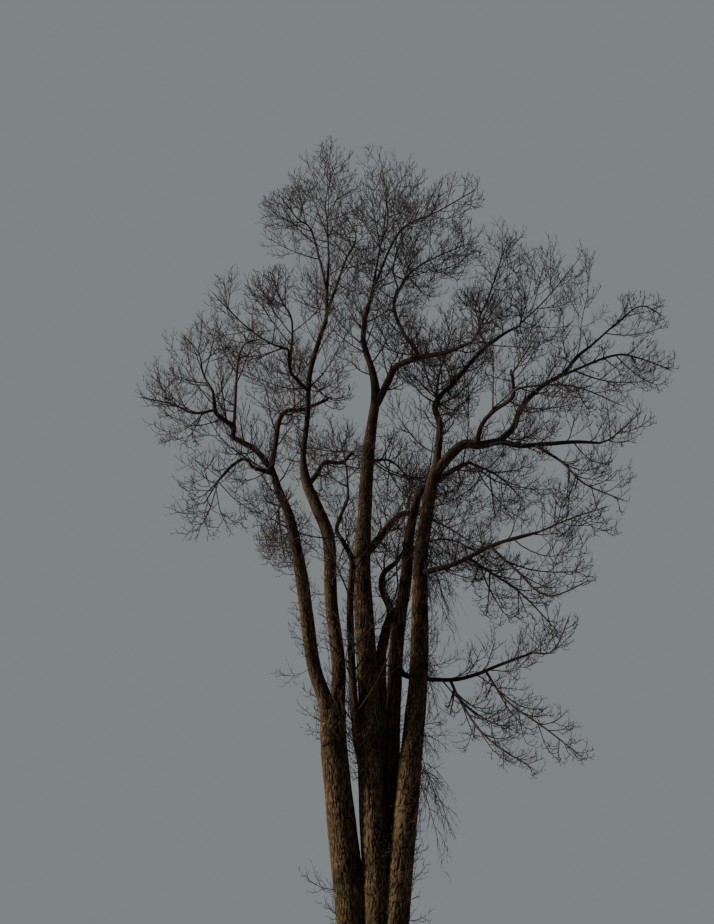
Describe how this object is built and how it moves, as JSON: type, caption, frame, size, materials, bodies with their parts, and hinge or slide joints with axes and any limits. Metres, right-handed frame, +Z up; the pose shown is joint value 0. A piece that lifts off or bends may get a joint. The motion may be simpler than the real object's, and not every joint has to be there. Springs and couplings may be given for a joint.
{
  "type": "bare winter tree",
  "caption": "Tall leafless broad-leaved tree: slender stems rise from one short flared trunk and carry arching boughs and open sprays of fine twigs.",
  "frame": {"origin": "centre of the flat cut under the trunk, at ground level", "axes": "+Z up the trunk, -Y towards the viewer of the picture, +X to the picture's right"},
  "size_m": [14.0945, 11.2082, 25.0247],
  "materials": {
    "bark": "furrowed",
    "twigs": "matte"
  },
  "bodies": {
    "root": {"trunk": "bark", "left_main_stem": "bark", "left_stem": "bark", "left_middle_stem": "bark", "centre_stem": "bark", "slim_stem": "bark", "right_stem": "bark", "right_leader": "bark", "right_middle_stem": "bark", "left_bough": "bark", "hanging_left_branch": "bark", "hook_bough": "bark", "left_high_bough": "bark", "burr_bough": "bark", "centre_right_bough": "bark", "centre_rising_bough": "bark", "twisted_bough": "bark", "centre_inner_bough": "bark", "great_right_bough": "bark", "right_high_reach": "bark", "right_inner_bough": "bark", "sweeping_bough": "bark", "low_right_bough": "bark", "far_left_twigs": "twigs", "left_fan_twigs": "twigs", "left_inner_twigs": "twigs", "hanging_left_twigs": "twigs", "high_left_twigs": "twigs", "upper_left_twigs": "twigs", "left_crest_twigs": "twigs", "left_top_twigs": "twigs", "left_back_twigs": "twigs", "middle_crest_twigs": "twigs", "hook_twigs": "twigs", "burr_twigs": "twigs", "front_slim_twigs": "twigs", "centre_top_twigs": "twigs", "centre_crest_twigs": "twigs", "rising_twigs": "twigs", "upper_right_twigs": "twigs", "front_right_twigs": "twigs", "middle_back_twigs": "twigs", "right_crest_twigs": "twigs", "right_top_twigs": "twigs", "right_back_twigs": "twigs", "far_right_twigs": "twigs", "outer_right_twigs": "twigs", "inner_right_twigs": "twigs", "front_reach_twigs": "twigs", "long_right_twigs": "twigs", "drooping_right_twigs": "twigs", "inner_back_twigs": "twigs", "back_twigs": "twigs", "low_back_twigs": "twigs", "sweeping_twigs": "twigs", "level_right_twigs": "twigs", "arching_twigs": "twigs", "low_rising_twigs": "twigs", "low_outer_twigs": "twigs", "low_inner_twigs": "twigs"}
  },
  "joints": []
}
